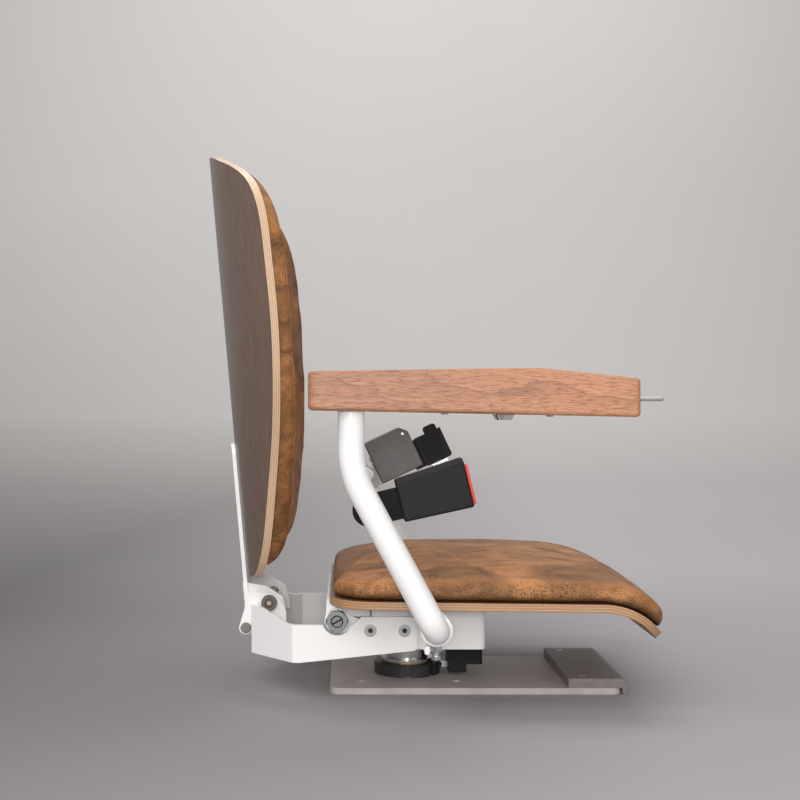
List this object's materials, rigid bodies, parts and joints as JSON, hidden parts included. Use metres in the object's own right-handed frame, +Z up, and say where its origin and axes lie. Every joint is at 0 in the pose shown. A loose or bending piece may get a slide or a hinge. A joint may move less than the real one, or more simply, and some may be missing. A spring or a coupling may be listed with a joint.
{
  "type": "stairlift chair",
  "caption": "Cushioned chair for a stairlift, with folding seat, tilting back, folding wooden armrests, safety belt and swivelling base.",
  "frame": {"origin": "on the swivel axis, at the underside of the base plate", "axes": "+X towards the front of the chair, +Y towards the sitter's left, +Z up"},
  "size_m": [0.5534, 0.586, 0.6779],
  "materials": {
    "white_paint": "satin",
    "base_paint": "satin",
    "black_steel": "satin",
    "steel": "brushed",
    "polished": "polished",
    "bronze": "machined",
    "dark_plastic": "fine texture",
    "black_plastic": "fine texture",
    "red_plastic": "glossy",
    "brown_plastic": "fine texture",
    "white_plastic": "glossy",
    "rubber": "matte",
    "walnut": "oiled, fine grain",
    "seat_ply": "lacquered plies",
    "back_ply": "lacquered, walnut face",
    "hide": "grained",
    "webbing": "woven",
    "aluminium": "satin"
  },
  "bodies": {
    "base": {"base_plate": "base_paint", "nose_cover": "dark_plastic", "index_ring": "black_steel", "swivel_bush": "bronze", "base_screws": "steel"},
    "frame": {"swivel_hub": "polished", "spindle_screw": "steel", "hub_screws": "steel", "main_box": "white_paint", "rear_frame": "white_paint", "rear_frame_screws": "steel", "arm_bosses": "white_paint", "arm_pivot_shafts": "steel", "seat_hinge_pins": "steel", "seat_hinge_nuts": "steel", "seat_buffers": "rubber", "tilt_cheeks": "white_paint", "tilt_rod": "steel", "tilt_rod_caps": "black_plastic", "tilt_lock_pin": "bronze", "tilt_lock_rings": "black_plastic", "latch_housing": "black_plastic"},
    "latch": {"swivel_pawl": "steel"},
    "lever": {"swivel_lever": "steel", "swivel_knob": "black_plastic"},
    "back": {"back_bracket": "white_paint", "back_shell": "back_ply", "back_cushion": "hide", "back_screws": "steel"},
    "seat": {"seat_bracket": "white_paint", "seat_shell": "seat_ply", "seat_cushion": "hide", "seat_screws": "steel"},
    "right_arm": {"arm_tube_right": "white_paint", "arm_plate_right": "white_paint", "armrest_right": "walnut", "arm_screws_right": "steel", "arm_stop_bolt_right": "steel", "armrest_panel": "black_plastic", "panel_screws": "steel", "key_switch_body": "polished", "joystick_switch": "polished", "buckle_bolt": "steel"},
    "key": {"key_switch_barrel": "steel"},
    "joystick": {"joystick_pin": "steel"},
    "buckle": {"buckle_stalk": "black_plastic", "buckle_cover": "black_plastic"},
    "button": {"buckle_button": "red_plastic"},
    "left_arm": {"arm_tube_left": "white_paint", "arm_plate_left": "white_paint", "armrest_left": "walnut", "arm_screws_left": "steel", "arm_stop_bolt_left": "steel", "retractor_bracket": "aluminium", "retractor_bolt": "white_plastic", "retractor_cover": "brown_plastic", "belt_webbing": "webbing", "belt_grip": "black_plastic", "belt_tongue": "steel"},
    "spool": {"retractor_spool": "webbing"}
  },
  "joints": [
    {"name": "swivel", "type": "hinge", "parent": "base", "child": "frame", "pos_m": [0, 0, 0.02], "axis": [0, 0, 1], "range_deg": [-90, 90]},
    {"name": "swivel_lever", "type": "hinge", "parent": "frame", "child": "lever", "pos_m": [0.071, 0.034, 0.048], "axis": [-1, 0, 0], "range_deg": [0, 6]},
    {"name": "latch_slide", "type": "slide", "parent": "frame", "child": "latch", "axis": [-1, 0, 0], "range_m": [0, 0.007]},
    {"name": "back_tilt", "type": "hinge", "parent": "frame", "child": "back", "pos_m": [-0.2074, 0, 0.0759], "axis": [0, -1, 0], "range_deg": [0, 10]},
    {"name": "seat_fold", "type": "hinge", "parent": "frame", "child": "seat", "pos_m": [-0.0912, 0, 0.0968], "axis": [0, -1, 0], "range_deg": [0, 75]},
    {"name": "right_arm_fold", "type": "hinge", "parent": "frame", "child": "right_arm", "pos_m": [0.022, -0.233, 0.105], "axis": [0, -1, 0], "range_deg": [0, 75]},
    {"name": "left_arm_fold", "type": "hinge", "parent": "frame", "child": "left_arm", "pos_m": [0.022, 0.233, 0.105], "axis": [0, -1, 0], "range_deg": [0, 75]},
    {"name": "key_turn", "type": "hinge", "parent": "right_arm", "child": "key", "pos_m": [0.095, -0.265, 0.349], "axis": [0, 0, 1], "range_deg": [0, 90]},
    {"name": "joystick_turn", "type": "hinge", "parent": "right_arm", "child": "joystick", "pos_m": [0.228, -0.265, 0.366], "axis": [0, 0, 1], "range_deg": [-12, 12], "stiffness_Nm_per_rad": 0.2},
    {"name": "buckle_swing", "type": "hinge", "parent": "right_arm", "child": "buckle", "pos_m": [-0.055, -0.2395, 0.24], "axis": [0, -1, 0], "range_deg": [-25, 25]},
    {"name": "button_press", "type": "slide", "parent": "buckle", "child": "button", "axis": [-0.9711, 0, -0.2385], "range_m": [0, 0.004], "stiffness_N_per_m": 400},
    {"name": "spool_turn", "type": "hinge", "parent": "left_arm", "child": "spool", "pos_m": [-0.0085, 0.265, 0.283], "axis": [-0.4258, 0, 0.9048], "continuous": true}
  ],
  "couplings": [
    {"joint": "latch_slide", "follows": "swivel_lever", "m_per_rad": 0.066845}
  ]
}
